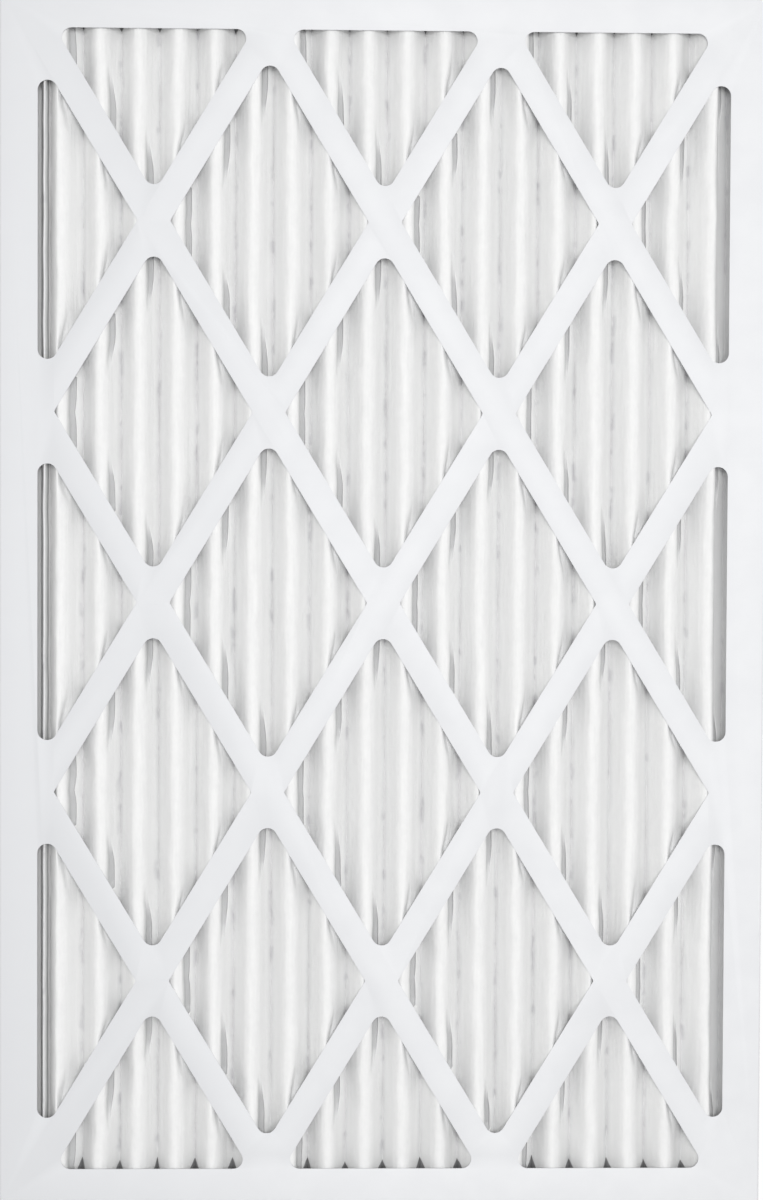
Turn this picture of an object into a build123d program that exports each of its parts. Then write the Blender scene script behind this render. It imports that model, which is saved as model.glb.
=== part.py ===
"""Pleated panel air filter: a folded filter sheet on a metal grid, held between two die-cut board frames.

X runs across the pleats, Y along them and Z through the panel. The panel lies flat on the frame at its
air-leaving side, with the side that the air enters facing up, and the origin is at the middle of its
underside. All sizes are millimetres.
"""

import math
import os

from build123d import *

# ---- Panel --------------------------------------------------------------------------------------
panel_width = 393.7  # a nominal 16 inch, made undersize to slide into its slot
panel_length = 622.3  # a nominal 25 inch
panel_depth = 19.05  # a nominal 1 inch

# ---- Coated board of the two frame halves ---------------------------------------------------------
board = 0.7
fold_radius = 1.1  # outside of a crease; its inside is sharp
frame_clearance = 0.15  # glue line between the outer and the nested walls
inner_wall_height = 15.5  # walls of the nested half, from its face
tab_length = 26.0  # corner tabs, folded from a side wall on to the end wall
tab_setback = 1.5  # tab edges stand back from the wall's free edge and from the face
corner_slit = 0.4  # open line where an end wall meets the fold of a side wall

# ---- Lattice cut in both faces --------------------------------------------------------------------
side_lip = 19.4  # face board left beside each long wall
end_lip = 18.1  # face board left beside each short wall
window_columns = 3
window_rows = 3
bar_width = 14.3
tip_radius = 5.0  # acute corners of the windows, the obtuse ones are cut sharp

# ---- Filter sheet and its backing -----------------------------------------------------------------
pleat_pitch = 19.6
pleat_shift = 1.2  # the pleats are set a little to the right between the walls
media_thickness = 2.4  # lofty non-woven, rounded over the outside of a fold and creased on the inside
pleat_clearance = 0.1  # between a pleat and the face board that it leans on
grid_thickness = 0.5  # expanded metal, flattened
grid_strand = 4.0  # metal left between two openings of the backing, and beside a fold
grid_openings = 2  # along each flank

# ---- Adhesive -------------------------------------------------------------------------------------
end_glue_depth = 1.2  # thickness of the layer that the pleat ends are set in
side_glue_width = 7.0
side_glue_height = 8.0

# ---- Worked out from the values above -------------------------------------------------------------
opening_width = panel_width - 2 * side_lip
opening_length = panel_length - 2 * end_lip
cell_width = opening_width / window_columns
cell_length = opening_length / window_rows
bar_angle = math.atan2(cell_length, cell_width)
window_half_width = cell_width / 2 - bar_width / 2 / math.sin(bar_angle)
window_half_length = cell_length / 2 - bar_width / 2 / math.cos(bar_angle)

nested_width = panel_width - 2 * (board + frame_clearance)
nested_length = panel_length - 2 * (2 * board + frame_clearance)
pack_width = nested_width - 2 * board
pack_length = nested_length - 2 * (board + end_glue_depth)
pack_bottom = board + pleat_clearance
pack_top = panel_depth - board - pleat_clearance

# A crest is round about the crease under it, a valley about the crease over it.
crest_z = pack_top - media_thickness
valley_z = pack_bottom + grid_thickness + media_thickness
half_pitch = pleat_pitch / 2
pleat_rise = crest_z - valley_z
half_pleats = math.ceil((pack_width / 2 + pleat_shift) / pleat_pitch)
# A flank's upper side starts level with the round of the crest and runs into the crease of the valley.
flank_reach = math.hypot(half_pitch, pleat_rise)
flank_angle = math.atan2(pleat_rise, half_pitch) + math.asin(media_thickness / flank_reach)

BOTTOM = (Align.CENTER, Align.CENTER, Align.MIN)


# ---- Frames ---------------------------------------------------------------------------------------
def window(column, row):
    """Outline of one lattice window; column and row count half cells from the middle of the face."""
    centre_y = row * cell_length / 2
    diamond = Polygon(
        (window_half_width, 0),
        (0, window_half_length),
        (-window_half_width, 0),
        (0, -window_half_length),
        align=None,
    )
    outline = Pos(column * cell_width / 2, centre_y) * diamond & Rectangle(opening_width, opening_length)
    at_end = abs(row) == window_rows
    acute = [corner for corner in outline.vertices() if at_end or abs(corner.Y - centre_y) > bar_width / 2]
    return fillet(acute, tip_radius)


def lattice_windows():
    """All windows of one face, in a chequer of half cells with a bar through each corner of the opening."""
    return [
        window(column, row)
        for column in range(-window_columns, window_columns + 1)
        for row in range(-window_rows, window_rows + 1)
        if (column + row - window_columns - window_rows) % 2
    ]


def folded_frame(width, length, wall_height):
    """Frame half folded from one blank: lattice face on top, four walls, and tabs glued inside the ends."""
    block = Box(width, length, wall_height, align=BOTTOM)
    block = fillet(block.faces().sort_by(Axis.Z)[-1].edges(), fold_radius)
    frame = block - Box(width - 2 * board, length - 2 * board, wall_height - board, align=BOTTOM)
    tab = Box(tab_length, board, wall_height - board - 2 * tab_setback, align=BOTTOM)
    slit = Box(corner_slit, board, wall_height - board - 2 * tab_setback, align=BOTTOM)
    tab_x = width / 2 - board - tab_length / 2
    slit_x = width / 2 - fold_radius - corner_slit
    for side_x in (-1, 1):
        for side_y in (-1, 1):
            frame += Pos(side_x * tab_x, side_y * (length / 2 - 1.5 * board), tab_setback) * tab
            frame -= Pos(side_x * slit_x, side_y * (length / 2 - board / 2), 0) * slit
    cutters = [Pos(0, 0, wall_height - board) * extrude(outline, board) for outline in lattice_windows()]
    return frame - cutters


def front_frame():
    """Outer half: its face is the side that the air enters, its walls reach down to the rear face."""
    return folded_frame(panel_width, panel_length, panel_depth)


def rear_frame():
    """Nested half, face down, with its walls glued inside those of the outer half."""
    frame = folded_frame(nested_width, nested_length, inner_wall_height)
    return Rot(Y=180) * Pos(0, 0, -inner_wall_height) * frame


# ---- Pleated pack ---------------------------------------------------------------------------------
def pleated_line(above):
    """Edges of the pleats' line at a height above the creases of the crests, measured across the sheet.

    At the sheet's thickness this is its upper side, at nought its lower side, and below that the backing's.
    """
    sine, cosine = math.sin(flank_angle), math.cos(flank_angle)
    edges = []
    start = None
    for fold in range(-2 * half_pleats, 2 * half_pleats + 1):
        x = fold * half_pitch + pleat_shift
        crest = fold % 2
        middle_z = crest_z if crest else valley_z
        radius = above if crest else media_thickness - above
        upward = 1 if crest else -1
        if radius > 0:
            before = (x - radius * sine, middle_z + upward * radius * cosine)
            after = (x + radius * sine, middle_z + upward * radius * cosine)
        else:
            before = after = (x, middle_z + upward * radius / cosine)
        if start:
            edges.append(Line(start, before))
        if radius > 0:
            edges.append(ThreePointArc(before, (x, middle_z + upward * radius), after))
        start = after
    return edges


def pleated_sheet(upper, lower):
    """Pleated sheet between two heights above the crests' creases, cut to the space between the walls."""
    top, bottom = pleated_line(upper), pleated_line(lower)
    ends = [Line(top[0] @ 0, bottom[0] @ 0), Line(top[-1] @ 1, bottom[-1] @ 1)]
    section = make_face(top + bottom + ends)
    sheet = extrude(Plane.XZ * section, pack_length / 2, both=True)
    return sheet & Box(pack_width, pack_length, panel_depth, align=BOTTOM)


def media_pack():
    """Filter sheet: round crests, and valleys that close to a narrow cleft because the sheet is thick."""
    return pleated_sheet(media_thickness, 0)


def support_grid():
    """Metal backing bonded to the air-leaving side of the sheet and pleated with it, open on each flank."""
    sheet = pleated_sheet(0, -grid_thickness)
    high = crest_z - grid_strand
    low = valley_z
    pitch = pack_length / grid_openings
    half = (pitch - grid_strand) / 2
    height = high - low
    hole = Polygon((-half, low), (height - half, high), (half, high), (half - height, low), align=None)
    hole = extrude(Plane.YZ * hole, pack_width / 2, both=True)
    places = [(index - (grid_openings - 1) / 2) * pitch for index in range(grid_openings)]
    return sheet - [Pos(0, y, 0) * hole for y in places]


# ---- Adhesive -------------------------------------------------------------------------------------
def end_glue(side):
    """Layer against one short wall, between the corner tabs, in which the ends of the pleats are set."""
    layer = Box(pack_width - 2 * tab_length, end_glue_depth, pack_top - board, align=BOTTOM)
    return Pos(0, side * (pack_length + end_glue_depth) / 2, board) * layer


def side_glue(media, side):
    """Bead in the trough between one long wall and the last flank of the sheet."""
    bead = Box(side_glue_width, pack_length, side_glue_height, align=BOTTOM)
    bead = Pos(side * (pack_width - side_glue_width) / 2, 0, valley_z) * bead
    return (bead - media).solids().sort_by(Axis.Z)[-1]


def build():
    """Every piece of the filter by its node name."""
    media = media_pack()
    return {
        "front_frame": front_frame(),
        "rear_frame": rear_frame(),
        "media_pack": media,
        "support_grid": support_grid(),
        "end_glue_top": end_glue(1),
        "end_glue_bottom": end_glue(-1),
        "side_glue_right": side_glue(media, 1),
        "side_glue_left": side_glue(media, -1),
    }


os.makedirs("parts", exist_ok=True)
for name, piece in build().items():
    export_step(piece, f"parts/{name}.step")
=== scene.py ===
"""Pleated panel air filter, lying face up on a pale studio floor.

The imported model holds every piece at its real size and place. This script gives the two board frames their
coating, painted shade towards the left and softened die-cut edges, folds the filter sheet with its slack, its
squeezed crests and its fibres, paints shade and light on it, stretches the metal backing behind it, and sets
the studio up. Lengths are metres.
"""

from __future__ import annotations

import logging
import math
from collections.abc import Iterator
from contextlib import contextmanager
from dataclasses import dataclass
from enum import Enum

import bpy
import numpy as np
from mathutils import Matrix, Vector, noise

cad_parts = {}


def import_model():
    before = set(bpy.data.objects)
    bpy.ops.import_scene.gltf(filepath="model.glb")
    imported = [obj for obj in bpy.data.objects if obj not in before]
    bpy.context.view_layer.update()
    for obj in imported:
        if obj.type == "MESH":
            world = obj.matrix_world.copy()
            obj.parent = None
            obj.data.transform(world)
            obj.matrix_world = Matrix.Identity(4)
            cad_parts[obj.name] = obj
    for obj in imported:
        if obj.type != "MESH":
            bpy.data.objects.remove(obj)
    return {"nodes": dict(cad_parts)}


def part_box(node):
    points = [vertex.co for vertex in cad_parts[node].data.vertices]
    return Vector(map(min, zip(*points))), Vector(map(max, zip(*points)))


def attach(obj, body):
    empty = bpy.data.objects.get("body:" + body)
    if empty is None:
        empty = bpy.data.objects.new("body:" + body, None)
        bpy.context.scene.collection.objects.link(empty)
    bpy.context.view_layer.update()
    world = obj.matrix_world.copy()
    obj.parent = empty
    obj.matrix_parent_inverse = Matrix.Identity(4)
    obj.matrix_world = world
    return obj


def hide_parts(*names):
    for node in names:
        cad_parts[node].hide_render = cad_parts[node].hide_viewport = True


Colour = tuple[float, float, float]
Piece = bpy.types.Object
Socket = bpy.types.NodeSocket

MM = 0.001
ROOT = "root"
LOG = logging.getLogger("panel_filter")
# Distance within which two points are one.
WELD = 0.02 * MM


# ---- Small helpers ------------------------------------------------------------------------------------
def make_active(piece: Piece) -> None:
    """Select one piece alone and make it the active one.

    Args:
        piece: The object that the next operators work on.
    """
    bpy.ops.object.select_all(action="DESELECT")
    piece.select_set(True)
    bpy.context.view_layer.objects.active = piece


def apply_modifier(piece: Piece, kind: str, **settings: object) -> None:
    """Add a modifier to a piece, set it up and apply it.

    Args:
        piece: The object that gets the modifier.
        kind: Blender's name of the modifier's type.
        settings: The modifier's properties by name.
    """
    make_active(piece)
    modifier = piece.modifiers.new(kind.title(), kind)
    for name, value in settings.items():
        setattr(modifier, name, value)
    bpy.ops.object.modifier_apply(modifier=modifier.name)


def repeat(piece: Piece, count: int, step: Vector, weld: float = 0.0) -> None:
    """Lay copies of a piece in a row.

    Args:
        piece: The piece, which becomes the whole row.
        count: Number of copies.
        step: From one copy to the next.
        weld: Distance within which the points of neighbours are joined, 0 to join none.
    """
    apply_modifier(
        piece,
        "ARRAY",
        count=count,
        use_relative_offset=False,
        use_constant_offset=True,
        constant_offset_displace=step,
        use_merge_vertices=weld > 0,
        merge_threshold=weld,
    )


@contextmanager
def editing(piece: Piece, part: str = "VERT", chosen: np.ndarray | None = None) -> Iterator[None]:
    """Edit a piece's mesh, with all of it selected at the start or only the chosen part.

    Args:
        piece: A mesh object.
        part: VERT or EDGE, what is selected.
        chosen: For each vertex or edge, whether it is selected, or None for all.
    """
    make_active(piece)
    bpy.ops.object.mode_set(mode="EDIT")
    bpy.ops.mesh.select_mode(type=part)
    bpy.ops.mesh.select_all(action="SELECT" if chosen is None else "DESELECT")
    if chosen is not None:
        bpy.ops.object.mode_set(mode="OBJECT")
        elements = piece.data.vertices if part == "VERT" else piece.data.edges
        elements.foreach_set("select", chosen)
        bpy.ops.object.mode_set(mode="EDIT")
    yield
    bpy.ops.mesh.select_mode(type="VERT")
    bpy.ops.object.mode_set(mode="OBJECT")


def smooth_shade(piece: Piece, degrees: float) -> None:
    """Shade a piece smooth where its faces meet at less than an angle."""
    make_active(piece)
    bpy.ops.object.shade_smooth_by_angle(angle=math.radians(degrees))


def read_points(piece: Piece) -> np.ndarray:
    """Vertex positions of a piece.

    Args:
        piece: A mesh object at the origin.

    Returns:
        An array with one row of x, y and z for each vertex.
    """
    points = np.empty(len(piece.data.vertices) * 3)
    piece.data.vertices.foreach_get("co", points)
    return points.reshape(-1, 3)


def write_points(piece: Piece, points: np.ndarray) -> None:
    """Move the vertices of a piece to new places, one row of x, y and z for each."""
    piece.data.vertices.foreach_set("co", points.ravel())
    piece.data.update()


def smooth_step(value: np.ndarray, low: float, high: float) -> np.ndarray:
    """Height at each value of a curve that rises smoothly from 0 at low to 1 at high."""
    share = np.clip((value - low) / (high - low), 0.0, 1.0)
    return share * share * (3.0 - 2.0 * share)


@dataclass(frozen=True)
class Drift:
    """Slow random drift along the rows, different in each row."""

    amount: float
    grain: float
    seed: float

    def at(self, rows: np.ndarray, along: np.ndarray) -> np.ndarray:
        """For points along numbered rows, values from about minus to plus the amount."""
        places = zip((rows * 3.7 + self.seed).tolist(), (along / self.grain).tolist())
        values = [noise.noise(Vector((row, place, self.seed * 1.3))) for row, place in places]
        return self.amount * np.array(values)


# ---- Finishes -----------------------------------------------------------------------------------------
class Slot(Enum):
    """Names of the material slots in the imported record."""

    BOARD = "frame_board"
    MEDIA = "filter_media"
    METAL = "grid_metal"


class Nodes:
    """Short calls for building one material's node tree."""

    def __init__(self, name: str) -> None:
        """Start a material with a Principled shader and object coordinates.

        Args:
            name: The material's name.
        """
        self.material = bpy.data.materials.new(name)
        self.material.use_nodes = True
        self.tree = self.material.node_tree
        self.shader = self.tree.nodes["Principled BSDF"]
        self.place = self.tree.nodes.new("ShaderNodeTexCoord").outputs["Object"]

    def link(self, source: Socket, target: Socket) -> None:
        """Join an output to an input."""
        self.tree.links.new(source, target)

    def stretched(self, scale: tuple[float, float, float]) -> Socket:
        """Object coordinates scaled along each axis.

        Args:
            scale: Factor along X, Y and Z.

        Returns:
            The scaled coordinates.
        """
        mapping = self.tree.nodes.new("ShaderNodeMapping")
        mapping.inputs["Scale"].default_value = scale
        self.link(self.place, mapping.inputs["Vector"])
        return mapping.outputs["Vector"]

    def axis(self, name: str) -> Socket:
        """The object coordinate X, Y or Z, in metres."""
        node = self.tree.nodes.new("ShaderNodeSeparateXYZ")
        self.link(self.place, node.inputs["Vector"])
        return node.outputs[name]

    def attribute(self, name: str) -> Socket:
        """The value that an attribute has on the piece's points."""
        node = self.tree.nodes.new("ShaderNodeAttribute")
        node.attribute_name = name
        return node.outputs["Fac"]

    def clouds(self, scale: float, detail: float, place: Socket | None = None) -> Socket:
        """Noise value over the surface.

        Args:
            scale: Cycles in a metre.
            detail: Number of finer octaves.
            place: Coordinates, or None for the piece's own.

        Returns:
            The noise value.
        """
        texture = self.tree.nodes.new("ShaderNodeTexNoise")
        texture.inputs["Scale"].default_value = scale
        texture.inputs["Detail"].default_value = detail
        self.link(place or self.place, texture.inputs["Vector"])
        return texture.outputs["Fac"]

    def math(self, operation: str, first: object, second: object = 0.0, clamp: bool = False) -> Socket:
        """Arithmetic on sockets or numbers.

        Args:
            operation: Blender's name of the operation.
            first: A socket or a number.
            second: A socket or a number.
            clamp: Keep the result from 0 to 1.

        Returns:
            The result.
        """
        node = self.tree.nodes.new("ShaderNodeMath")
        node.operation = operation
        node.use_clamp = clamp
        for socket, value in zip(node.inputs, (first, second)):
            if isinstance(value, (int, float)):
                socket.default_value = value
            else:
                self.link(value, socket)
        return node.outputs["Value"]

    def fade(self, value: Socket, start: float, span: float) -> Socket:
        """Share that grows from 0 to 1 as a value falls from start by a span."""
        return self.math("DIVIDE", self.math("SUBTRACT", start, value), span, clamp=True)

    def drift(self, scale: float, amount: float) -> Socket:
        """Slow noise about zero, with an amount between its two ends."""
        return self.math("MULTIPLY", self.math("SUBTRACT", self.clouds(scale, 1.0), 0.5), amount)

    def ramp(self, value: Socket, *stops: tuple[float, Colour]) -> Socket:
        """Colour ramp.

        Args:
            value: Where to read the ramp.
            stops: Each a place from 0 to 1 and a linear colour.

        Returns:
            The colour.
        """
        node = self.tree.nodes.new("ShaderNodeValToRGB")
        elements = node.color_ramp.elements
        for _ in range(len(stops) - len(elements)):
            elements.new(0.5)
        for element, (place, colour) in zip(elements, stops):
            element.position = place
            element.color = (*colour, 1.0)
        self.link(value, node.inputs["Fac"])
        return node.outputs["Color"]

    def blend(self, factor: Socket, first: Socket, second: Colour) -> Socket:
        """Mix of two colours.

        Args:
            factor: Share of the second colour.
            first: A colour socket.
            second: A linear colour.

        Returns:
            The mixed colour.
        """
        node = self.tree.nodes.new("ShaderNodeMix")
        node.data_type = "RGBA"
        self.link(factor, node.inputs[0])
        self.link(first, node.inputs[6])
        node.inputs[7].default_value = (*second, 1.0)
        return node.outputs[2]

    def bump(self, height: Socket, distance: float, strength: float) -> None:
        """Raise the surface by a height, on top of any bump that is there.

        Args:
            height: Height from 0 to 1.
            distance: Real height of 1.
            strength: Share of the effect.
        """
        node = self.tree.nodes.new("ShaderNodeBump")
        node.inputs["Distance"].default_value = distance
        node.inputs["Strength"].default_value = strength
        self.link(height, node.inputs["Height"])
        if self.shader.inputs["Normal"].is_linked:
            self.link(self.shader.inputs["Normal"].links[0].from_socket, node.inputs["Normal"])
        self.link(node.outputs["Normal"], self.shader.inputs["Normal"])

    def shown_white(self, half_width: float, half_length: float) -> None:
        """Show plain white to the camera round the panel and keep the shader for every other ray.

        Args:
            half_width: Half of the width that the panel covers.
            half_length: Half of the length that it covers.
        """
        white = self.tree.nodes.new("ShaderNodeEmission")
        path = self.tree.nodes.new("ShaderNodeLightPath")
        mix = self.tree.nodes.new("ShaderNodeMixShader")
        beside = self.math("GREATER_THAN", self.math("ABSOLUTE", self.axis("X")), half_width)
        beyond = self.math("GREATER_THAN", self.math("ABSOLUTE", self.axis("Y")), half_length)
        round_it = self.math("MAXIMUM", beside, beyond)
        self.link(self.math("MULTIPLY", path.outputs["Is Camera Ray"], round_it), mix.inputs["Fac"])
        self.link(self.shader.outputs["BSDF"], mix.inputs[1])
        self.link(white.outputs["Emission"], mix.inputs[2])
        self.link(mix.outputs["Shader"], self.tree.nodes["Material Output"].inputs["Surface"])


@dataclass(frozen=True)
class BoardFinish:
    """Clay-coated white board: satin, with a faint mottle from the pulp, and painted shade a little greyer
    towards the left.
    """

    half_width: float
    # Painted shade towards the left, where the light falls weaker: its colour and its largest share.
    left_shade: Colour = (0.74, 0.75, 0.77)
    left_shade_share: float = 0.75
    light: Colour = (0.86, 0.868, 0.885)
    dark: Colour = (0.835, 0.843, 0.862)
    roughness: float = 0.55

    def make(self) -> bpy.types.Material:
        """Build the material.

        Returns:
            The board's material.
        """
        nodes = Nodes("coated_board")
        mottle = nodes.clouds(55.0, 4.0)
        colour = nodes.ramp(mottle, (0.35, self.dark), (0.65, self.light))
        # Painted shade: greyer towards the left, where the light falls weaker.
        leftward_shade = nodes.fade(nodes.axis("X"), 0.0, self.half_width)
        colour = nodes.blend(nodes.math("MULTIPLY", leftward_shade, self.left_shade_share), colour, self.left_shade)
        nodes.link(colour, nodes.shader.inputs["Base Color"])
        nodes.shader.inputs["Roughness"].default_value = self.roughness
        nodes.bump(nodes.clouds(900.0, 3.0), 0.04 * MM, 0.25)
        nodes.bump(nodes.clouds(18.0, 2.0), 0.6 * MM, 0.12)
        return nodes.material


@dataclass(frozen=True)
class MediaFinish:
    """Lofty white non-woven: bright crests, streaks along the pleats, specks in the creases, painted shade and
    light.
    """

    pitch: float
    start_x: float
    crest_z: float
    end_shadow_start: float
    light: Colour = (0.97, 0.97, 0.965)
    dark: Colour = (0.90, 0.902, 0.90)
    # Painted shade down the flanks, below the crests.
    flank_shade: Colour = (0.872, 0.874, 0.872)
    # Painted shade in the valleys.
    deep: Colour = (0.832, 0.834, 0.832)
    # Painted shade in the slots beside the bars and along the long walls.
    slot: Colour = (0.64, 0.643, 0.645)
    shadow: Colour = (0.25, 0.25, 0.255)
    speck: Colour = (0.68, 0.68, 0.69)
    flank_shade_share: float = 0.75
    deep_z: float = 8.5 * MM
    fall: float = 4.5 * MM
    end_shadow_more: float = 2.6 * MM
    end_shadow_blur: float = 0.35 * MM
    speck_reach: float = 1.7 * MM
    speck_least: float = 0.28

    def make(self) -> bpy.types.Material:
        """Build the material.

        Returns:
            The filter sheet's material.
        """
        nodes = Nodes("nonwoven_media")
        fibres = nodes.clouds(1.0, 5.0, nodes.stretched((700.0, 320.0, 700.0)))
        felt = nodes.clouds(140.0, 4.0)
        streaks = nodes.clouds(1.0, 3.0, nodes.stretched((420.0, 38.0, 420.0)))
        tone = nodes.math("ADD", nodes.math("MULTIPLY", fibres, 0.3), nodes.math("MULTIPLY", felt, 0.25))
        tone = nodes.math("ADD", tone, nodes.math("MULTIPLY", streaks, 0.45))
        colour = nodes.ramp(tone, (0.36, self.dark), (0.62, self.light))
        height = nodes.axis("Z")
        # Painted shade (above 0) and painted light (below 0) are read from an attribute of the sheet.
        painted_light_shade = nodes.attribute(PAINTED_LIGHT_SHADE)
        # Below 1 where light is painted beside the bars, taking the flank shade away.
        shade_kept = nodes.math("ADD", painted_light_shade, 1.0, clamp=True)
        # Painted shade down the flanks below the crests, taken away where light is painted.
        below = nodes.math("MULTIPLY", nodes.fade(height, self.crest_z, self.fall), self.flank_shade_share)
        colour = nodes.blend(nodes.math("MULTIPLY", below, shade_kept), colour, self.flank_shade)
        # Painted shade in the valleys.
        colour = nodes.blend(nodes.fade(height, self.deep_z, self.fall), colour, self.deep)
        # Painted shade in the slots beside the bars and along the long walls.
        colour = nodes.blend(nodes.math("MULTIPLY", painted_light_shade, 1.0, clamp=True), colour, self.slot)
        colour = nodes.blend(self._specks(nodes), colour, self.speck)
        # Painted shadow at the valley ends by the short walls.
        colour = nodes.blend(self._end_shadows(nodes), colour, self.shadow)
        nodes.link(colour, nodes.shader.inputs["Base Color"])
        nodes.shader.inputs["Roughness"].default_value = 0.92
        nodes.shader.inputs["Sheen Weight"].default_value = 0.12
        nodes.shader.inputs["Specular IOR Level"].default_value = 0.2
        nodes.bump(fibres, 0.25 * MM, 0.5)
        nodes.bump(felt, 0.9 * MM, 0.35)
        nodes.bump(streaks, 1.2 * MM, 0.3)
        return nodes.material

    def _from_valley(self, nodes: Nodes, across: Socket) -> Socket:
        """Distance to the nearest valley from a place across the panel."""
        return nodes.math("PINGPONG", nodes.math("SUBTRACT", across, self.start_x), self.pitch / 2)

    def _end_shadows(self, nodes: Nodes) -> Socket:
        """Where painted shadow darkens the valley ends at the short walls, like a small dark gap.

        Args:
            nodes: The material being built.

        Returns:
            0 on clean sheet, 1 in full painted shadow.
        """
        along = nodes.axis("Y")
        low = nodes.math("SUBTRACT", nodes.math("MULTIPLY", along, -1.0), self.end_shadow_start)
        high = nodes.math("SUBTRACT", along, self.end_shadow_start + self.end_shadow_more)
        reach = nodes.math("ADD", nodes.math("MAXIMUM", low, high), nodes.drift(75.0, 9.0 * MM))
        half_width = nodes.math("MULTIPLY", reach, 0.5)
        inside = nodes.math("SUBTRACT", half_width, self._from_valley(nodes, nodes.axis("X")))
        return nodes.math("DIVIDE", inside, self.end_shadow_blur, clamp=True)

    def _specks(self, nodes: Nodes) -> Socket:
        """Where the creases hold a speck of shadow.

        Args:
            nodes: The material being built.

        Returns:
            0 on clean sheet, up to 1 on a speck.
        """
        across = nodes.math("ADD", nodes.axis("X"), nodes.drift(60.0, 3.0 * MM))
        in_valley = nodes.fade(self._from_valley(nodes, across), self.speck_reach, self.speck_reach)
        spots = nodes.clouds(1.0, 2.0, nodes.stretched((120.0, 95.0, 40.0)))
        strong = nodes.math("MULTIPLY", nodes.math("SUBTRACT", spots, 0.55), 7.0, clamp=True)
        return nodes.math("MULTIPLY", in_valley, nodes.math("ADD", strong, self.speck_least, clamp=True))


@dataclass(frozen=True)
class MetalFinish:
    """Galvanised steel strands, bright with dull patches."""

    bright: Colour = (0.66, 0.67, 0.69)
    dull: Colour = (0.52, 0.53, 0.55)

    def make(self) -> bpy.types.Material:
        """Build the material.

        Returns:
            The backing's material.
        """
        nodes = Nodes("galvanised_steel")
        nodes.shader.inputs["Metallic"].default_value = 1.0
        patches = nodes.clouds(260.0, 3.0)
        colour = nodes.ramp(patches, (0.38, self.bright), (0.64, self.dull))
        nodes.link(colour, nodes.shader.inputs["Base Color"])
        roughness = nodes.math("ADD", nodes.math("MULTIPLY", patches, 0.3), 0.25)
        nodes.link(roughness, nodes.shader.inputs["Roughness"])
        return nodes.material


@dataclass(frozen=True)
class GlueFinish:
    """Set white adhesive, slightly yellow and glossy."""

    clear: Colour = (0.84, 0.82, 0.75)
    cloudy: Colour = (0.76, 0.73, 0.63)

    def make(self) -> bpy.types.Material:
        """Build the material.

        Returns:
            The adhesive's material.
        """
        nodes = Nodes("set_adhesive")
        colour = nodes.ramp(nodes.clouds(90.0, 4.0), (0.38, self.clear), (0.64, self.cloudy))
        nodes.link(colour, nodes.shader.inputs["Base Color"])
        nodes.shader.inputs["Roughness"].default_value = 0.35
        nodes.bump(nodes.clouds(220.0, 3.0), 0.5 * MM, 0.6)
        return nodes.material


def dress(piece: Piece, material: bpy.types.Material) -> None:
    """Give a piece one material all over.

    Args:
        piece: A new piece or a CAD node.
        material: Its finish.
    """
    piece.data.materials.clear()
    piece.data.materials.append(material)


# ---- Sizes of the panel -------------------------------------------------------------------------------
@dataclass(frozen=True)
class Lattice:
    """Slanting bars across a face of the panel, which is open inside its lips."""

    opening_width: float
    opening_length: float
    columns: int = 3
    rows: int = 3
    bar: float = 14.3 * MM
    rail_slack: float = 13.0 * MM
    halfway: float = 5.0 * MM

    @property
    def slope(self) -> float:
        """Angle of the bars to the short sides."""
        return math.atan2(self.opening_length / self.rows, self.opening_width / self.columns)

    @classmethod
    def of_panel(cls, width: float, length: float) -> Lattice:
        """Lattice of a panel with lips 19.4 mm wide along its sides and 18.1 mm at its ends."""
        return cls(width - 2 * 19.4 * MM, length - 2 * 18.1 * MM)

    def holds(self, x: float, y: float) -> bool:
        """Whether a place is inside the lips."""
        return abs(x) < self.opening_width / 2 and abs(y) < self.opening_length / 2

    def clearance(self, x: np.ndarray, y: np.ndarray) -> tuple[np.ndarray, np.ndarray]:
        """Distance from points to the nearest board edge, and which side of the point it lies on.

        Args:
            x: Places across the pleats.
            y: Places along them.

        Returns:
            Distances, negative under the board, and 1 where the bar is on the left, 0 on the right.
        """
        spacing = self.opening_width / self.columns * math.sin(self.slope)
        left = x + self.opening_width / 2
        right = self.opening_width / 2 - x
        for side in (-1.0, 1.0):
            offset = math.sin(self.slope) * x + side * math.cos(self.slope) * y
            steps = offset / spacing + 0.5 * (self.columns + self.rows)
            from_line = (steps - np.floor(steps)) * spacing
            left = np.minimum(left, from_line - self.bar / 2)
            right = np.minimum(right, spacing - from_line - self.bar / 2)
        ends = self.opening_length / 2 - np.abs(y) + self.rail_slack
        nearest = np.minimum(np.minimum(left, right), ends)
        return nearest, smooth_step(right - left, -self.halfway, self.halfway)


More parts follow.
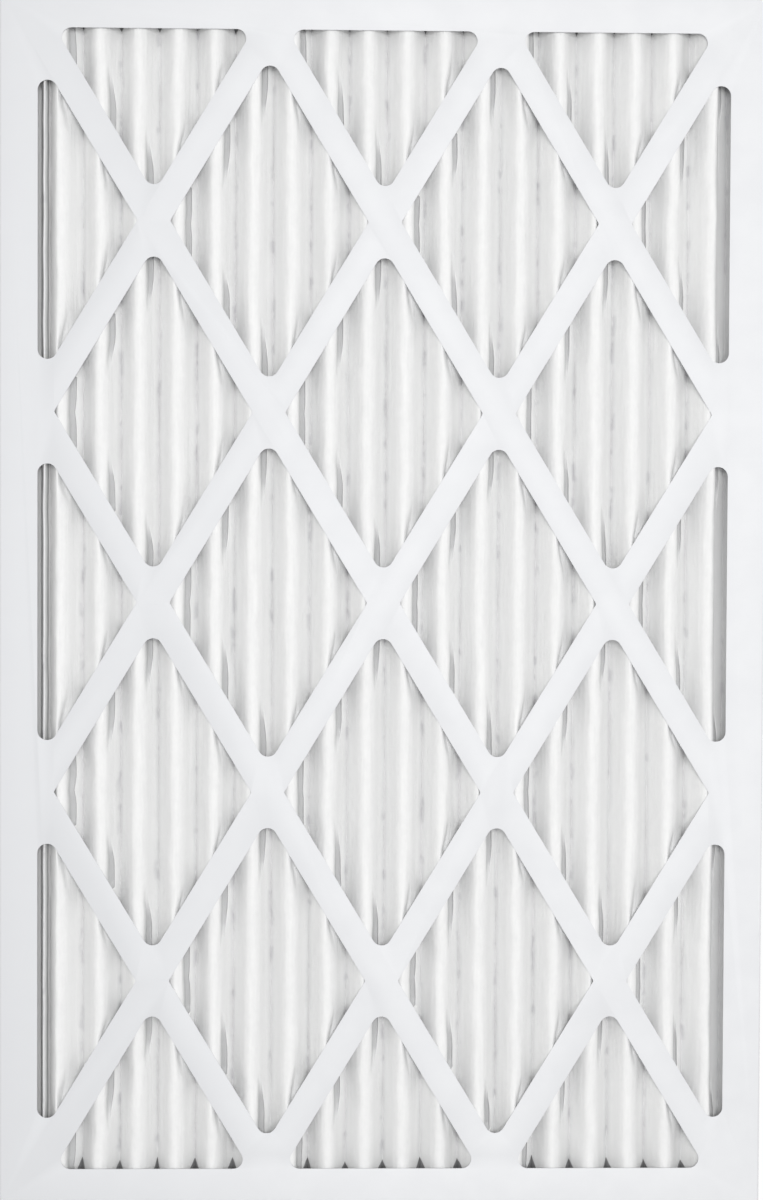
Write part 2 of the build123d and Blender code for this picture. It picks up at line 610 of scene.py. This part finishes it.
# ---- Board frames -------------------------------------------------------------------------------------
@dataclass
class BoardFrame:
    """One frame half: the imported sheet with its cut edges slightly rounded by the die."""

    node: str
    source: Piece
    piece_name: str
    lattice: Lattice
    corner_round: float = 0.9 * MM
    corner_turn: tuple[float, float] = (0.8, 1.35)
    edge_round: float = 0.16 * MM
    flat_angle: float = math.radians(1.0)
    sharp_angle: float = math.radians(40.0)
    near: float = 0.001 * MM

    def build(self) -> Piece:
        """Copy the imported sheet, join its triangles and round its cut edges.

        Returns:
            The finished frame half.
        """
        piece = self.source.copy()
        piece.data = self.source.data.copy()
        piece.name = self.piece_name
        piece.data.name = self.piece_name
        bpy.context.scene.collection.objects.link(piece)
        piece.parent = None
        piece.matrix_world = self.source.matrix_world.copy()
        make_active(piece)
        bpy.ops.object.transform_apply(location=True, rotation=True, scale=True)
        with editing(piece):
            bpy.ops.mesh.remove_doubles(threshold=self.near)
            bpy.ops.mesh.dissolve_limited(angle_limit=self.flat_angle)
        self._round_corners(piece)
        cut_edges = {"limit_method": "ANGLE", "angle_limit": self.sharp_angle}
        apply_modifier(piece, "BEVEL", width=self.edge_round, segments=2, **cut_edges)
        smooth_shade(piece, 35.0)
        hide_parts(self.node)
        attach(piece, ROOT)
        return piece

    def _round_corners(self, piece: Piece) -> None:
        """Round the wide corners of the windows, where two bars cross.

        Args:
            piece: The joined sheet.
        """
        mesh = piece.data
        points = read_points(piece)
        normals: dict[tuple[int, int], list[Vector]] = {}
        for face in mesh.polygons:
            for key in face.edge_keys:
                normals.setdefault(key, []).append(face.normal)
        least, most = self.corner_turn
        chosen = []
        for edge in mesh.edges:
            start, end = points[edge.vertices[0]], points[edge.vertices[1]]
            upright = max(abs(start[0] - end[0]), abs(start[1] - end[1])) < self.near
            beside = normals[edge.key]
            turned = len(beside) == 2 and least < beside[0].angle(beside[1]) < most
            chosen.append(upright and self.lattice.holds(start[0], start[1]) and turned)
        LOG.info("%s: %d wide corners rounded", piece.name, sum(chosen))
        with editing(piece, "EDGE", np.array(chosen)):
            bpy.ops.mesh.bevel(offset=self.corner_round, segments=3, affect="EDGES")


# ---- Filter sheet -------------------------------------------------------------------------------------
# Tops of one pleat in millimetres, for a panel 19.05 mm deep: across and up at each share of the girth.
SECTION_MARKS = (
    0.0, 0.0088, 0.0789, 0.149, 0.2192, 0.2893, 0.3594, 0.4295, 0.453, 0.4765, 0.5, 0.5235, 0.547,
    0.5705, 0.6126, 0.6546, 0.6967, 0.7388, 0.7809, 0.8229, 0.865, 0.9071, 0.9491, 0.9912, 1.0,
)
# Glued to a bar on its left: a narrow crest with a deep slot on its right, where the sheet is squeezed.
LEFT_HELD = (
    (-9.8, -9.6, -9.3, -8.0, -6.7, -5.4, -4.1, -2.9, -1.9, -1.0, -0.2, 0.7, 1.7,
     2.8, 3.6, 3.95, 4.1, 4.9, 6.6, 7.0, 7.15, 7.4, 9.3, 9.6, 9.8),
    (3.8, 4.15, 4.8, 8.0, 10.9, 13.2, 15.0, 16.4, 17.3, 17.85, 18.15, 18.25, 18.1,
     17.5, 16.6, 14.6, 8.0, 6.6, 5.5, 7.3, 7.7, 7.5, 4.7, 4.15, 3.8),
)
# Glued to a bar on its right: the crest leans left and the slot is short and close to it.
RIGHT_HELD = (
    (-9.8, -9.6, -9.3, -8.0, -6.8, -5.6, -4.5, -3.5, -2.8, -2.1, -1.4, -0.8, -0.3,
     0.2, 0.55, 0.8, 1.2, 1.9, 2.4, 2.8, 3.6, 6.7, 9.3, 9.6, 9.8),
    (3.8, 4.15, 4.7, 7.6, 10.1, 12.4, 14.4, 15.9, 16.8, 17.5, 17.95, 18.0, 17.6,
     16.7, 15.6, 14.0, 13.0, 12.9, 13.4, 13.6, 13.3, 10.8, 5.0, 4.15, 3.8),
)
# Between the bars: a round arch.
FREE = (
    (-9.8, -9.6, -9.3, -8.0, -6.7, -5.4, -4.1, -2.9, -2.2, -1.3, -0.2, 0.9, 1.9,
     2.8, 3.3, 3.65, 3.95, 4.3, 4.7, 5.1, 5.5, 6.2, 9.3, 9.6, 9.8),
    (3.8, 4.15, 4.73, 7.48, 10.06, 12.3, 14.2, 15.7, 16.3, 16.8, 17.0, 16.85, 16.4,
     15.8, 15.25, 14.87, 14.53, 14.04, 13.48, 12.87, 12.2, 10.95, 4.73, 4.15, 3.8),
)
# Where the slot is, from one edge to the other, for the painted shade in it.
SLOT_MARKS = (0.6546, 0.6967, 0.8229, 0.865)
# Name of the point attribute that holds painted shade, and painted light below 0.
PAINTED_LIGHT_SHADE = "painted_light_shade"

# Pleats against the long walls, in millimetres across the panel: evenly folded, and as they are crowded in.
EVEN = (-195.3, -194.8, -185.0, -175.2, -165.4, -155.6, 158.0, 168.0, 170.5, 172.5, 177.6, 195.3)
CROWDED = (-195.3, -177.2, -174.4, -172.5, -167.0, -155.6, 158.0, 169.3, 171.0, 171.9, 177.6, 195.3)

# Slow irregularities of the folded sheet.
GRIP = Drift(0.45, 60 * MM, 4.0)
LEAN = Drift(0.85 * MM, 21 * MM, 1.0)
QUICK_LEAN = Drift(0.5 * MM, 8 * MM, 6.0)
SWELL = Drift(0.45 * MM, 15 * MM, 9.0)
DIP = Drift(0.35 * MM, 26 * MM, 12.0)
RIDGE_WAVE = Drift(0.3 * MM, 19 * MM, 23.0)
WALL_WAVE = Drift(0.45 * MM, 17 * MM, 31.0)


@dataclass(frozen=True)
class Fold:
    """How the sheet is folded: its section over one pleat, and how it settles between the bars."""

    lattice: Lattice
    low: Vector
    high: Vector
    pitch: float = 19.6 * MM
    shift: float = 1.2 * MM
    thickness: float = 2.4 * MM
    reach: float = 20.0 * MM
    free_drop: float = 1.1 * MM
    held_lean: float = 0.9 * MM
    hollow: float = 7.0 * MM
    ridge_drop: float = 0.08

    @property
    def length(self) -> float:
        """Length of the pleats."""
        return self.high.y - self.low.y

    @property
    def crest_z(self) -> float:
        """Height of the axis that the crests turn about."""
        return self.high.z - self.thickness

    @property
    def valley_z(self) -> float:
        """Height of the axis that the valleys turn about."""
        return self.low.z + self.thickness

    @property
    def pleats(self) -> int:
        """Number of whole pleats that cover the pack's width."""
        return 2 * math.ceil((self.high.x + self.shift) / self.pitch)

    @property
    def start_x(self) -> float:
        """Place of the first valley."""
        return self.shift - self.pleats / 2 * self.pitch

    @property
    def flank(self) -> float:
        """Slope of a flank."""
        rise = self.crest_z - self.valley_z
        span = math.hypot(self.pitch / 2, rise)
        return math.atan2(rise, self.pitch / 2) + math.asin(self.thickness / span)

    @property
    def girth(self) -> float:
        """Length of sheet that one pleat takes."""
        return 2 * (self.thickness * self.flank + (self.crest_z - self.valley_z) / math.sin(self.flank))

    def crest_x(self, row: np.ndarray) -> np.ndarray:
        """Middle of each pleat, across the panel."""
        return self.start_x + (row + 0.5) * self.pitch

    def upper(self, share: np.ndarray, free: np.ndarray, side: np.ndarray) -> tuple[np.ndarray, np.ndarray]:
        """Top of the sheet over one pleat, from valley to valley.

        Args:
            share: Share of the pleat's girth, 0.5 at the crest.
            free: 0 where the crest is glued to a bar, 1 where it hangs free.
            side: 1 where that bar is on the left, 0 where it is on the right.

        Returns:
            Places across the pleat, 0 at the crest, and heights.
        """
        held = 1 - free
        across = np.zeros_like(share)
        height = np.zeros_like(share)
        for weight, section in ((held * side, LEFT_HELD), (held * (1 - side), RIGHT_HELD), (free, FREE)):
            across += weight * np.interp(share, SECTION_MARKS, section[0])
            height += weight * np.interp(share, SECTION_MARKS, section[1])
        return across * MM, height * MM

    def under(self, share: np.ndarray, free: np.ndarray, lift: float = 0.0) -> tuple[np.ndarray, np.ndarray]:
        """Underside of the sheet over one pleat, or a line below it.

        Args:
            share: Share of the pleat's girth, 0.5 at the crest.
            free: 0 where the crest is glued to a bar, 1 where it hangs free.
            lift: Distance below the underside.

        Returns:
            Places across the pleat, 0 at the crest, and heights.
        """
        radius = self.thickness + lift
        side = np.sign(share - 0.5)
        from_valley = 1 - np.abs(share - 0.5) * 2
        turn_share = radius * self.flank / (self.girth / 2)
        turn = np.minimum(from_valley / turn_share, 1.0) * self.flank
        climb = np.clip((from_valley - turn_share) / (1 - turn_share), 0.0, 1.0)
        foot_x = self.pitch / 2 - radius * np.sin(turn)
        foot_z = self.valley_z - radius * np.cos(turn)
        top = self.crest_z - lift / math.cos(self.flank) - self.free_drop * free
        pinch = self.held_lean * climb + self.hollow * climb * (1 - climb) * (side > 0)
        across = side * foot_x * (1 - climb) - (1 - free) * pinch
        return across, foot_z + (top - foot_z) * climb

    def crowd(self, x: np.ndarray, y: np.ndarray, z: np.ndarray) -> tuple[np.ndarray, np.ndarray]:
        """Crowd the pleats that meet the long walls: a narrow ridge on the left, a steep drop on the right.

        Args:
            x: Places across the panel.
            y: Places along the pleats.
            z: Heights.

        Returns:
            New places and heights.
        """
        waving = smooth_step(-x, 172 * MM, 178 * MM) - smooth_step(-x, 187 * MM, 192 * MM)
        wave = RIDGE_WAVE.at(np.zeros_like(y), y) * waving
        drop = self.ridge_drop * smooth_step(-x, 178 * MM, 181 * MM)
        crowded = np.interp(x, np.array(EVEN) * MM, np.array(CROWDED) * MM)
        return crowded + wave, z - drop * np.maximum(z - self.valley_z, 0.0)

    def freedom(self, row: np.ndarray, y: np.ndarray) -> tuple[np.ndarray, np.ndarray]:
        """How far each crest point has left the bars.

        Args:
            row: Number of the pleat.
            y: Place along the crest.

        Returns:
            0 where the crest is held and 1 where it hangs free, and the side that its bar is on, as above.
        """
        away, side = self.lattice.clearance(self.crest_x(row), y)
        away = away / math.cos(self.lattice.slope) / (1.0 + GRIP.at(row, y))
        return smooth_step(away, -2 * MM, self.reach), side

    def painted_shade_and_light(self, row: np.ndarray, share: np.ndarray, x: np.ndarray, y: np.ndarray) -> np.ndarray:
        """How much shade and light is painted on the sheet: shade in the slots beside the bars and along the
        long walls, light beside the bars.

        Args:
            row: Number of the pleat that each point is in.
            share: Share of the pleat's girth.
            x: Settled place across the panel.
            y: Place along the pleat.

        Returns:
            1 of painted shade at the bottom of a slot, 0 on open sheet and below 0 where light is painted
            beside a bar.
        """
        free, side = self.freedom(row, y)
        # Painted shade in the slots beside held crests.
        slot = np.interp(share, SLOT_MARKS, (0.0, 1.0, 1.0, 0.0)) * np.clip(1.7 * (1 - free), 0.0, 1.0)
        # Painted shade in the dark gap by the left wall and along the right wall's edge.
        left = 0.42 * (1 - smooth_step(x, -175.3 * MM, -174.9 * MM))
        right = 0.32 * smooth_step(x + WALL_WAVE.at(np.zeros_like(y), y), 175.4 * MM, 176.2 * MM)
        shade_amount = np.maximum(slot * (0.35 + 0.65 * side), np.maximum(left, right))
        # Painted light on the sheet beside the bars, lifting their shade.
        light_amount = 0.85 * (1 - free) ** 2 * (1 - 0.5 * side)
        return shade_amount - light_amount * (shade_amount < 0.05)

    def place(
        self, row: np.ndarray, share: np.ndarray, y: np.ndarray, on_top: bool, lift: float = 0.0
    ) -> tuple[np.ndarray, np.ndarray]:
        """Fold points of the flat sheet.

        Args:
            row: Number of the pleat that each point is in.
            share: Share of the pleat's girth.
            y: Place along the pleat.
            on_top: True on the sheet's top, False on its underside.
            lift: Distance below the underside.

        Returns:
            Places across the panel and heights.
        """
        free, side = self.freedom(row, y)
        across, height = self.upper(share, free, side) if on_top else self.under(share, free, lift)
        crestness = 1 - np.abs(share - 0.5) * 2
        lean = (LEAN.at(row, y) + QUICK_LEAN.at(row, y)) * (0.35 + 0.65 * free)
        swell = SWELL.at(row * 2 + (share > 0.5), y) * np.sin(np.pi * crestness)
        dip = (DIP.amount + DIP.at(row, y)) * free * crestness**2
        x = self.crest_x(row) + across + lean * crestness**0.7 + swell
        return self.crowd(np.clip(x, self.low.x, self.high.x), y, height - dip)


@dataclass(frozen=True)
class Skin:
    """One face of the sheet as an even zigzag: the radii of its folds, their axes and its number of faces."""

    name: str
    valley_radius: float
    valley_axis: float
    crest_radius: float
    crest_axis: float
    half_pitch: float
    steps: tuple[int, int, int, int, int]
    steps_along: int

    @property
    def slope(self) -> float:
        """Slope of a flank."""
        rise = self.crest_axis - self.valley_axis
        reach = math.hypot(self.half_pitch, rise)
        return math.atan2(rise, self.half_pitch) + math.asin((self.valley_radius + self.crest_radius) / reach)

    @property
    def run(self) -> float:
        """Width of a flank, seen from the front."""
        return self.half_pitch - (self.valley_radius + self.crest_radius) * math.sin(self.slope)

    def share(self, across: np.ndarray, z: np.ndarray) -> np.ndarray:
        """Share of the pleat's girth at points of the zigzag.

        Args:
            across: Place across the pleat, 0 at the crest.
            z: Height.

        Returns:
            Shares from 0 to 1, 0.5 at the crest.
        """
        away = np.abs(across)
        crest_turn = np.arctan2(away, z - self.crest_axis)
        valley_turn = np.arctan2(self.half_pitch - away, self.valley_axis - z)
        on_crest = np.abs(np.hypot(away, z - self.crest_axis) - self.crest_radius) < WELD
        on_valley = np.abs(np.hypot(self.half_pitch - away, self.valley_axis - z) - self.valley_radius) < WELD
        flank = self.run / math.cos(self.slope)
        folds = self.crest_radius * self.slope, self.valley_radius * self.slope
        half = folds[0] + flank + folds[1]
        down = folds[0] + (away - self.crest_radius * math.sin(self.slope)) / math.cos(self.slope)
        distance = np.where(on_crest, self.crest_radius * crest_turn, down)
        distance = np.where(on_valley & ~on_crest, half - self.valley_radius * valley_turn, distance)
        return np.clip(0.5 + np.sign(across) * distance / half / 2, 0.0, 1.0)


@dataclass
class FilterSheet:
    """Non-woven sheet folded into pleats, slack between the bars and squeezed where it is glued to them."""

    fold: Fold
    crest_round: float = 0.2 * MM
    valley_round: float = 0.3 * MM
    front_steps: tuple[int, int, int, int, int] = (1, 6, 6, 10, 1)
    front_along: int = 170
    back_steps: tuple[int, int, int, int, int] = (2, 2, 1, 2, 2)
    back_along: int = 60

    def build(self) -> Piece:
        """Fold and settle both faces of the sheet and join them round its edge.

        Returns:
            The finished sheet.
        """
        fold = self.fold
        front = Skin(
            name="pleated_sheet",
            valley_radius=self.valley_round,
            valley_axis=fold.valley_z + self.valley_round,
            crest_radius=fold.thickness,
            crest_axis=fold.crest_z,
            half_pitch=fold.pitch / 2,
            steps=self.front_steps,
            steps_along=self.front_along,
        )
        back = Skin(
            name="sheet_back",
            valley_radius=fold.thickness,
            valley_axis=fold.valley_z,
            crest_radius=self.crest_round,
            crest_axis=fold.crest_z - self.crest_round,
            half_pitch=fold.pitch / 2,
            steps=self.back_steps,
            steps_along=self.back_along,
        )
        piece = self._skin(front, True)
        under = self._skin(back, False)
        make_active(piece)
        under.select_set(True)
        bpy.ops.object.join()
        with editing(piece, "EDGE"):
            bpy.ops.mesh.select_all(action="DESELECT")
            bpy.ops.mesh.select_non_manifold(extend=False)
            bpy.ops.mesh.bridge_edge_loops()
        smooth_shade(piece, 75.0)
        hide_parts("media_pack")
        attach(piece, ROOT)
        return piece

    def _skin(self, skin: Skin, on_top: bool) -> Piece:
        """Fold one face of the sheet over the whole pack and settle it.

        Args:
            skin: Its zigzag.
            on_top: True for the face towards the front.

        Returns:
            The face, trimmed to the walls.
        """
        piece = self._first_valley(skin)
        self._fold_pleat(piece, skin)
        repeat(piece, self.fold.pleats, Vector((self.fold.pitch, 0.0, 0.0)), WELD)
        self._face(piece, on_top)
        self._trim(piece)
        self._settle(piece, skin, on_top)
        return piece

    def _first_valley(self, skin: Skin) -> Piece:
        """Lay the bottom of the first valley as a straight line of points along the pleats.

        Args:
            skin: The zigzag that starts there.

        Returns:
            The piece, which holds only that line.
        """
        bpy.ops.mesh.primitive_grid_add(x_subdivisions=1, y_subdivisions=skin.steps_along, size=1.0)
        piece = bpy.context.object
        piece.name = skin.name
        piece.data.name = skin.name
        with editing(piece, chosen=read_points(piece)[:, 0] > 0):
            bpy.ops.mesh.delete(type="VERT")
            bpy.ops.mesh.select_all(action="SELECT")
            bpy.ops.transform.resize(value=(1.0, self.fold.length, 1.0))
            corner = (self.fold.start_x + 0.5, 0.0, skin.valley_axis - skin.valley_radius)
            bpy.ops.transform.translate(value=corner)
        return piece

    def _fold_pleat(self, piece: Piece, skin: Skin) -> None:
        """Carry the line up one flank, over the crest and down to the next valley.

        Args:
            piece: The piece, holding the line at the valley's bottom.
            skin: Its zigzag.
        """
        start_x = self.fold.start_x
        first_valley, rise, crest, fall, last_valley = skin.steps
        up = skin.run * math.tan(skin.slope)
        with editing(piece):
            self._spin(start_x, skin.valley_axis, skin.slope, first_valley)
            self._extrude(Vector((skin.run, 0.0, up)), rise)
            self._spin(start_x + skin.half_pitch, skin.crest_axis, -2 * skin.slope, crest)
            self._extrude(Vector((skin.run, 0.0, -up)), fall)
            self._spin(start_x + 2 * skin.half_pitch, skin.valley_axis, skin.slope, last_valley)

    def _spin(self, x: float, z: float, angle: float, steps: int) -> None:
        """Turn the selected line about a fold's axis at x and z, by a negative angle over a crest."""
        bpy.ops.mesh.spin(steps=steps, angle=angle, center=(x, 0.0, z), axis=(0.0, 1.0, 0.0))

    def _extrude(self, travel: Vector, steps: int) -> None:
        """Carry the selected line up or down a flank, in a number of steps."""
        for _ in range(steps):
            bpy.ops.mesh.extrude_edges_move(TRANSFORM_OT_translate={"value": travel / steps})

    def _face(self, piece: Piece, on_top: bool) -> None:
        """Turn every face of a skin out of the sheet.

        Args:
            piece: The folded skin.
            on_top: True for the face towards the front.
        """
        with editing(piece):
            bpy.ops.mesh.remove_doubles(threshold=0.01 * MM)
            bpy.ops.mesh.normals_make_consistent(inside=False)
        if (sum(face.normal.z * face.area for face in piece.data.polygons) > 0) != on_top:
            with editing(piece):
                bpy.ops.mesh.flip_normals()

    def _settle(self, piece: Piece, skin: Skin, on_top: bool) -> None:
        """Give a skin its settled form, and store on the front one where shade and light are painted.

        Args:
            piece: The skin on its even zigzag.
            skin: The zigzag.
            on_top: True for the face towards the front.
        """
        fold = self.fold
        x, y, z = read_points(piece).T
        row = np.clip(np.floor((x - fold.start_x) / fold.pitch), 0, fold.pleats - 1)
        share = skin.share(x - fold.crest_x(row), z)
        x_new, z_new = fold.place(row, share, y, on_top)
        if on_top:
            # Store the painted shade and painted light as an attribute.
            painted_light_shade = piece.data.attributes.new(PAINTED_LIGHT_SHADE, "FLOAT", "POINT")
            painted_light_shade.data.foreach_set("value", fold.painted_shade_and_light(row, share, x_new, y).astype(np.float32))
        write_points(piece, np.column_stack([x_new, y, z_new]))

    def _trim(self, piece: Piece) -> None:
        """Cut a skin off at both long walls.

        Args:
            piece: The skin on its even zigzag.
        """
        with editing(piece):
            for wall in (self.fold.low.x, self.fold.high.x):
                bpy.ops.mesh.select_all(action="SELECT")
                outward = (math.copysign(1.0, wall), 0.0, 0.0)
                bpy.ops.mesh.bisect(plane_co=(wall, 0.0, 0.0), plane_no=outward, clear_outer=True)


# ---- Metal backing ------------------------------------------------------------------------------------
@dataclass
class ExpandedMetal:
    """Slit and stretched steel sheet glued to the back of the pleats, with long diamond openings."""

    fold: Fold
    mesh_long: float = 25.4 * MM
    mesh_short: float = 12.7 * MM
    strand_width: float = 0.9 * MM
    strand_thickness: float = 0.36 * MM
    lift: float = 0.28 * MM
    steps: int = 3

    @property
    def count_along(self) -> int:
        """Number of openings that cover the length of the pleats."""
        return math.ceil(self.fold.length / self.mesh_long)

    def build(self) -> Piece:
        """Model the strands round one opening, copy them over the flat sheet and fold it.

        Returns:
            The finished backing.
        """
        piece = self._strand()
        count_across = math.ceil(self.fold.pleats * self.fold.girth / self.mesh_short)
        repeat(piece, self.count_along, Vector((0.0, self.mesh_long, 0.0)), WELD)
        repeat(piece, count_across, Vector((self.mesh_short, 0.0, 0.0)))
        self._fold(piece)
        self._trim(piece)
        smooth_shade(piece, 50.0)
        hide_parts("support_grid")
        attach(piece, ROOT)
        return piece

    def _strand(self) -> Piece:
        """Model the four strands round one opening.

        Returns:
            The piece, flat, at the sheet's first corner.
        """
        bpy.ops.mesh.primitive_plane_add(size=1.0)
        piece = bpy.context.object
        piece.name = "expanded_metal"
        piece.data.name = "expanded_metal"
        travel = Vector((self.mesh_short / 2 - self.strand_width / 2, self.mesh_long / 2, 0.0))
        with editing(piece, chosen=read_points(piece)[:, 1] > 0):
            bpy.ops.mesh.delete(type="VERT")
            bpy.ops.mesh.select_all(action="SELECT")
            bpy.ops.transform.resize(value=(self.strand_width, 1.0, 1.0))
            bpy.ops.transform.translate(value=(self.strand_width / 2, 0.5, 0.0))
            for direction in (1.0, -1.0):
                step = Vector((travel.x * direction, travel.y, 0.0)) / self.steps
                for _ in range(self.steps):
                    bpy.ops.mesh.extrude_edges_move(TRANSFORM_OT_translate={"value": step})
        apply_modifier(piece, "MIRROR", use_axis=(True, False, False), use_clip=False, use_mirror_merge=False)
        over = self.count_along * self.mesh_long - self.fold.length
        with editing(piece):
            bpy.ops.transform.translate(value=(self.mesh_short / 2, self.fold.low.y - over / 2, 0.0))
            bpy.ops.mesh.normals_make_consistent(inside=False)
        apply_modifier(piece, "SOLIDIFY", thickness=self.strand_thickness, offset=0.0)
        return piece

    def _fold(self, piece: Piece) -> None:
        """Fold the flat backing under the filter sheet.

        Args:
            piece: The flat backing.
        """
        fold = self.fold
        x, y, z = read_points(piece).T
        along = np.clip(x / fold.girth, 0.0, fold.pleats - 1e-6)
        row = np.floor(along)
        faces = []
        for half in (-self.strand_thickness / 2, self.strand_thickness / 2):
            x_new, z_new = fold.place(row, along - row, y, False, self.lift + half)
            faces.append(np.column_stack([x_new, y, z_new]))
        write_points(piece, np.where((z > 0)[:, None], faces[0], faces[1]))

    def _trim(self, piece: Piece) -> None:
        """Cut the backing off at all four walls.

        Args:
            piece: The folded backing.
        """
        with editing(piece):
            for corner in (self.fold.low, self.fold.high):
                for outward in (Vector((corner.x, 0.0, 0.0)), Vector((0.0, corner.y, 0.0))):
                    bpy.ops.mesh.select_all(action="SELECT")
                    bpy.ops.mesh.bisect(
                        plane_co=corner, plane_no=outward.normalized(), use_fill=True, clear_outer=True
                    )
            bpy.ops.mesh.select_all(action="SELECT")
            bpy.ops.mesh.normals_make_consistent(inside=False)


# ---- Studio -------------------------------------------------------------------------------------------
@dataclass(frozen=True)
class Studio:
    """Camera over the panel, a soft lamp, even light from all round and a pale floor."""

    face_z: float
    half_width: float
    half_length: float
    camera_place: tuple[float, float, float] = (-31.2 * MM, 34.7 * MM, 1200.0 * MM)
    camera_turn: tuple[float, float, float] = (-0.0275, -0.0252, 0.0040)
    lens: float = 70.0
    dome: float = 0.48
    lamp_place: tuple[float, float, float] = (0.10, 0.17, 1.9)
    lamp_size: float = 0.5
    lamp_power: float = 19.0
    margin: float = 1.0 * MM

    def camera(self) -> None:
        """Hang the camera over the panel, looking almost straight down."""
        data = bpy.data.cameras.new("camera")
        data.lens = self.lens
        data.sensor_width = 36.0
        data.clip_start = 0.05
        camera = bpy.data.objects.new("camera", data)
        bpy.context.scene.collection.objects.link(camera)
        camera.location = Vector(self.camera_place) + Vector((0.0, 0.0, self.face_z))
        camera.rotation_mode = "ZYX"
        camera.rotation_euler = self.camera_turn
        bpy.context.scene.camera = camera

    def lamp(self) -> None:
        """Hang a square soft lamp that faces the panel."""
        data = bpy.data.lights.new("lamp_over", "AREA")
        data.size = self.lamp_size
        data.energy = self.lamp_power
        lamp = bpy.data.objects.new("lamp_over", data)
        bpy.context.scene.collection.objects.link(lamp)
        lamp.location = self.lamp_place
        towards_panel = Vector((0.0, 0.0, self.face_z / 2)) - lamp.location
        lamp.rotation_euler = towards_panel.to_track_quat("-Z", "Y").to_euler()

    def world(self) -> None:
        """Light the panel evenly from all round, and show white behind it."""
        world = bpy.data.worlds.new("studio")
        bpy.context.scene.world = world
        world.use_nodes = True
        nodes, links = world.node_tree.nodes, world.node_tree.links
        dome = nodes["Background"]
        shown = nodes.new("ShaderNodeBackground")
        for light, strength in ((dome, self.dome), (shown, 1.0)):
            light.inputs["Color"].default_value = (1.0, 1.0, 1.0, 1.0)
            light.inputs["Strength"].default_value = strength
        mix = nodes.new("ShaderNodeMixShader")
        links.new(nodes.new("ShaderNodeLightPath").outputs["Is Camera Ray"], mix.inputs["Fac"])
        links.new(dome.outputs["Background"], mix.inputs[1])
        links.new(shown.outputs["Background"], mix.inputs[2])
        links.new(mix.outputs["Shader"], nodes["World Output"].inputs["Surface"])

    def floor(self) -> None:
        """Lay a wide pale floor under the panel, white to the camera like the wall of a light tent."""
        bpy.ops.mesh.primitive_plane_add(size=12.0, location=(0.0, 0.0, -0.05 * MM))
        plane = bpy.context.object
        plane.name = "floor"
        nodes = Nodes("floor_paper")
        nodes.shader.inputs["Base Color"].default_value = (0.9, 0.9, 0.9, 1.0)
        nodes.shader.inputs["Roughness"].default_value = 0.9
        nodes.shown_white(self.half_width - self.margin, self.half_length - self.margin)
        dress(plane, nodes.material)


def main() -> None:
    """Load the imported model, build and dress every piece, and set the studio up."""
    logging.basicConfig(level=logging.INFO, format="%(name)s: %(message)s")
    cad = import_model()["nodes"]
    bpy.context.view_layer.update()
    low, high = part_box("front_frame")
    lattice = Lattice.of_panel(high[0] - low[0], high[1] - low[1])
    board = BoardFinish(high[0]).make()
    pieces = []
    for node, name in (("front_frame", "front_board"), ("rear_frame", "rear_board")):
        pieces.append(BoardFrame(node, cad[node], name, lattice).build())
        dress(pieces[-1], board)
    media_low, media_high = (Vector(corner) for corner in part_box("media_pack"))
    fold = Fold(lattice, media_low, media_high)
    folded = FilterSheet(fold)
    sheet = folded.build()
    media = MediaFinish(fold.pitch, fold.start_x, fold.high.z - 1.2 * MM, lattice.opening_length / 2 - 1.5 * MM)
    dress(sheet, media.make())
    backing = ExpandedMetal(fold).build()
    dress(backing, MetalFinish().make())
    for piece in (*pieces, sheet, backing):
        LOG.info("%s: %d faces", piece.name, len(piece.data.polygons))
    glue = GlueFinish().make()
    for node in ("end_glue_top", "end_glue_bottom", "side_glue_left", "side_glue_right"):
        dress(cad[node], glue)
    studio = Studio(high[2], high[0], high[1])
    studio.camera()
    studio.lamp()
    studio.world()
    studio.floor()
    bpy.context.scene.view_settings.view_transform = "Standard"


if __name__ == "__main__":
    main()
